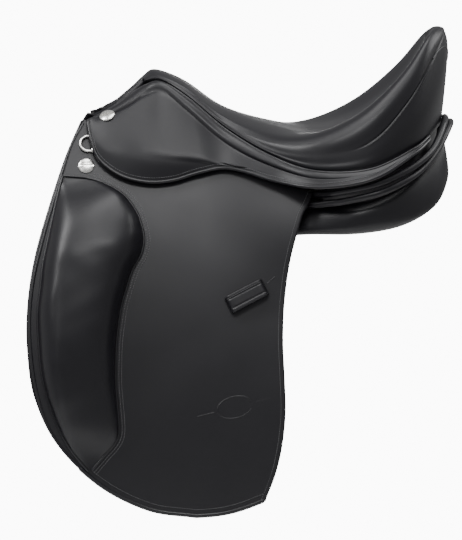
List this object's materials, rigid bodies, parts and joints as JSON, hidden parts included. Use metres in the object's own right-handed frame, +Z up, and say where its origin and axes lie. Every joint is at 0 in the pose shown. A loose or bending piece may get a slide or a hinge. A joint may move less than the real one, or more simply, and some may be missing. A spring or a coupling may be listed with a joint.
{
  "type": "english saddle",
  "caption": "Black leather dressage saddle with hanging flaps, lifting skirts, padded panels, knee blocks, girth billets and stirrup bars with safety catches.",
  "frame": {"origin": "on the centre plane, level with the top of the horse's back or rack that the panels rest on, straight below the deepest part of the seat", "axes": "+X towards the cantle (rear), +Y towards the horse's right (off) side, +Z up; the near (left) side faces -Y"},
  "size_m": [0.536, 0.4562, 0.5913],
  "materials": {
    "black_leather": "satin, fine grain",
    "black_padded_leather": "soft satin over padding",
    "strap_leather": "waxed",
    "nickel": "polished nickel plate",
    "steel": "plain",
    "beech": "laminated, lacquered",
    "foam": "matt",
    "web": "woven"
  },
  "bodies": {
    "saddle": {"tree": "beech", "head_plate": "steel", "gullet_plate": "steel", "spring_left": "steel", "spring_right": "steel", "stirrup_bar_left": "steel", "stirrup_bar_right": "steel", "catch_pin_left": "steel", "catch_pin_right": "steel", "tree_rivets": "steel", "seat_webs": "web", "girth_webs_left": "web", "girth_webs_right": "web", "seat_foam": "foam", "seat_cover": "black_leather", "seat_facing_left": "black_leather", "seat_facing_right": "black_leather", "pommel_roll": "black_leather", "skirt_band_left": "black_leather", "skirt_band_right": "black_leather", "flap_top_left": "black_leather", "flap_top_right": "black_leather", "sweat_flap_left": "black_leather", "sweat_flap_right": "black_leather", "panel_left": "black_padded_leather", "panel_right": "black_padded_leather", "panel_facing": "black_leather", "welt_upper": "black_leather", "welt_lower": "black_leather", "pommel_studs": "nickel", "flap_studs": "nickel", "dee_chape_left": "black_leather", "dee_chape_right": "black_leather"},
    "flap_left_body": {"flap_left": "black_leather", "knee_block_left": "black_padded_leather", "keeper_left": "black_leather"},
    "skirt_left_body": {"skirt_left": "black_leather"},
    "billet_front_left": {"front_billet_left": "strap_leather"},
    "billet_rear_left": {"rear_billet_left": "strap_leather"},
    "dee_left_body": {"dee_left": "nickel"},
    "catch_left_body": {"catch_left": "steel"},
    "flap_right_body": {"flap_right": "black_leather", "knee_block_right": "black_padded_leather", "keeper_right": "black_leather"},
    "skirt_right_body": {"skirt_right": "black_leather"},
    "billet_front_right": {"front_billet_right": "strap_leather"},
    "billet_rear_right": {"rear_billet_right": "strap_leather"},
    "dee_right_body": {"dee_right": "nickel"},
    "catch_right_body": {"catch_right": "steel"}
  },
  "joints": [
    {"name": "flap_lift_left", "type": "hinge", "parent": "saddle", "child": "flap_left_body", "pos_m": [-0.125, -0.12, 0.031], "axis": [-0.9795, 0.1221, 0.1601], "range_deg": [0, 80]},
    {"name": "skirt_lift_left", "type": "hinge", "parent": "saddle", "child": "skirt_left_body", "pos_m": [-0.15, -0.099, 0.0945], "axis": [-0.9377, 0.2025, 0.2824], "range_deg": [0, 75]},
    {"name": "front_billet_swing_left", "type": "hinge", "parent": "saddle", "child": "billet_front_left", "pos_m": [-0.15, -0.1132, 0.014], "axis": [0, -1, 0], "range_deg": [-6, 6]},
    {"name": "rear_billet_swing_left", "type": "hinge", "parent": "saddle", "child": "billet_rear_left", "pos_m": [-0.075, -0.1146, 0.014], "axis": [0, -1, 0], "range_deg": [-6, 6]},
    {"name": "dee_swing_left", "type": "hinge", "parent": "saddle", "child": "dee_left_body", "pos_m": [-0.236, -0.0836, 0.0933], "axis": [0, 0.4923, 0.8704], "range_deg": [0, 25]},
    {"name": "bar_catch_left", "type": "hinge", "parent": "saddle", "child": "catch_left_body", "pos_m": [-0.119, -0.0951, 0.0786], "axis": [0, -0.8777, 0.4793], "range_deg": [0, 90]},
    {"name": "flap_lift_right", "type": "hinge", "parent": "saddle", "child": "flap_right_body", "pos_m": [-0.125, 0.12, 0.031], "axis": [0.9795, 0.1221, -0.1601], "range_deg": [0, 80]},
    {"name": "skirt_lift_right", "type": "hinge", "parent": "saddle", "child": "skirt_right_body", "pos_m": [-0.15, 0.099, 0.0945], "axis": [0.9377, 0.2025, -0.2824], "range_deg": [0, 75]},
    {"name": "front_billet_swing_right", "type": "hinge", "parent": "saddle", "child": "billet_front_right", "pos_m": [-0.15, 0.1132, 0.014], "axis": [0, -1, 0], "range_deg": [-6, 6]},
    {"name": "rear_billet_swing_right", "type": "hinge", "parent": "saddle", "child": "billet_rear_right", "pos_m": [-0.075, 0.1146, 0.014], "axis": [0, -1, 0], "range_deg": [-6, 6]},
    {"name": "dee_swing_right", "type": "hinge", "parent": "saddle", "child": "dee_right_body", "pos_m": [-0.236, 0.0836, 0.0933], "axis": [0, 0.4923, -0.8704], "range_deg": [0, 25]},
    {"name": "bar_catch_right", "type": "hinge", "parent": "saddle", "child": "catch_right_body", "pos_m": [-0.119, 0.0951, 0.0786], "axis": [0, -0.8777, -0.4793], "range_deg": [0, 90]}
  ]
}
